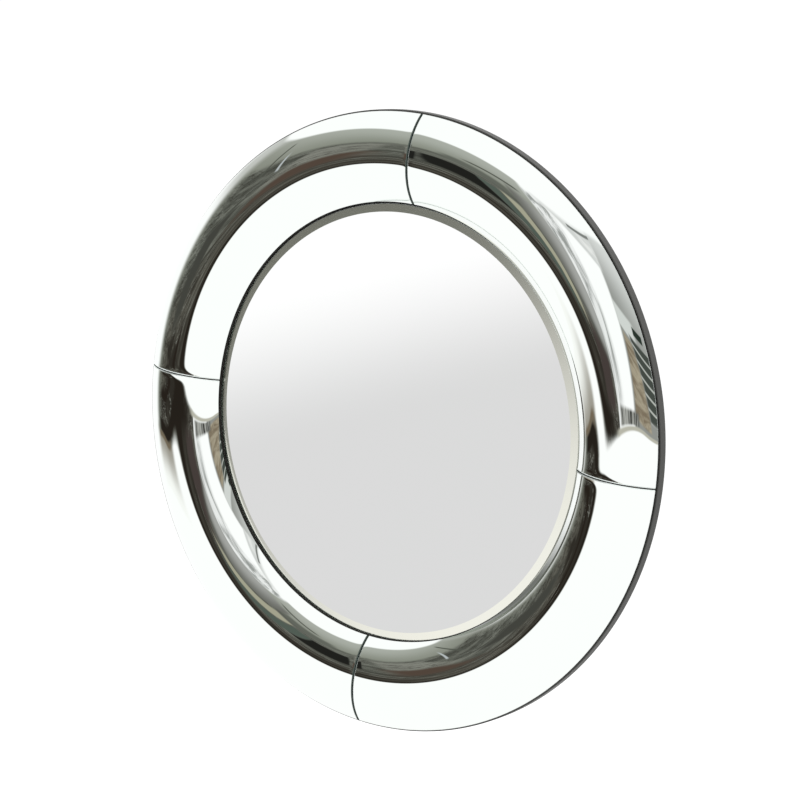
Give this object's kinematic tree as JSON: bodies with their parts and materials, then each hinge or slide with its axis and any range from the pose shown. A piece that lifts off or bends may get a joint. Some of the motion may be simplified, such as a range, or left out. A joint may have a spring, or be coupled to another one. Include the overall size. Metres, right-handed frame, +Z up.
{
  "type": "wall mirror",
  "caption": "Round wall mirror: a flat bevelled mirror inside a bulging frame of curved mirror-glass quarter rings on a round board, hung from swinging rings on its back.",
  "frame": {"origin": "where the mirror's axis meets the wall plane, which the four rubber bumpers rest on, 8 mm behind the back board", "axes": "+Z up as hung, +Y into the wall, -Y out of the mirror's face, +X to the viewer's right"},
  "size_m": [0.9999, 0.0554, 0.9999],
  "materials": {
    "curved_mirror_glass": "slumped back-silvered glass, polished, with arrissed dark green edges",
    "flat_mirror_glass": "back-silvered float glass with a polished bevel",
    "edge_paint": "bent hardboard strip, sprayed dark grey satin",
    "board": "medium-density fibreboard, rear face painted matt black",
    "ledge_board": "medium-density fibreboard, stained black",
    "former_wood": "birch plywood, sawn",
    "black_felt": "black wool felt",
    "bedding_sealant": "cured black silicone",
    "foam_tape": "white double-sided foam tape",
    "mirror_adhesive": "cured grey mirror adhesive",
    "zinc_steel": "bright zinc plated",
    "screw_steel": "yellow passivated zinc plated",
    "black_rubber": "moulded black rubber"
  },
  "bodies": {
    "root": {"back_board": "board", "edge_band": "edge_paint", "outer_ledge_ring": "ledge_board", "inner_ledge_ring": "ledge_board", "joint_former_right": "former_wood", "joint_former_top": "former_wood", "joint_former_left": "former_wood", "joint_former_bottom": "former_wood", "joint_pad_right": "black_felt", "joint_pad_top": "black_felt", "joint_pad_left": "black_felt", "joint_pad_bottom": "black_felt", "segment_formers_upper_right": "former_wood", "segment_formers_upper_left": "former_wood", "segment_formers_lower_left": "former_wood", "segment_formers_lower_right": "former_wood", "segment_pads_upper_right": "black_felt", "segment_pads_upper_left": "black_felt", "segment_pads_lower_left": "black_felt", "segment_pads_lower_right": "black_felt", "glass_bed_outer": "bedding_sealant", "glass_bed_inner": "bedding_sealant", "curved_glass_upper_right": "curved_mirror_glass", "curved_glass_upper_left": "curved_mirror_glass", "curved_glass_lower_left": "curved_mirror_glass", "curved_glass_lower_right": "curved_mirror_glass", "centre_mirror": "flat_mirror_glass", "mirror_tape_strips": "foam_tape", "mirror_adhesive_dabs": "mirror_adhesive", "hanger_block_left": "former_wood", "hanger_block_right": "former_wood", "hanger_strap_left": "zinc_steel", "hanger_strap_right": "zinc_steel", "hanger_screws_left": "zinc_steel", "hanger_screws_right": "zinc_steel", "ledge_screws_outer": "screw_steel", "ledge_screws_inner": "screw_steel", "former_screws": "screw_steel", "bumper_screws": "zinc_steel", "wall_bumper_upper_right": "black_rubber", "wall_bumper_upper_left": "black_rubber", "wall_bumper_lower_left": "black_rubber", "wall_bumper_lower_right": "black_rubber"},
    "ring_left": {"hanger_ring_left": "zinc_steel"},
    "ring_right": {"hanger_ring_right": "zinc_steel"}
  },
  "joints": [
    {"name": "ring_left_swing", "type": "hinge", "parent": "root", "child": "ring_left", "pos_m": [-0.303, -0.0044, 0.322], "axis": [1, 0, 0], "range_deg": [0, 180]},
    {"name": "ring_right_swing", "type": "hinge", "parent": "root", "child": "ring_right", "pos_m": [0.303, -0.0044, 0.322], "axis": [1, 0, 0], "range_deg": [0, 180]}
  ]
}
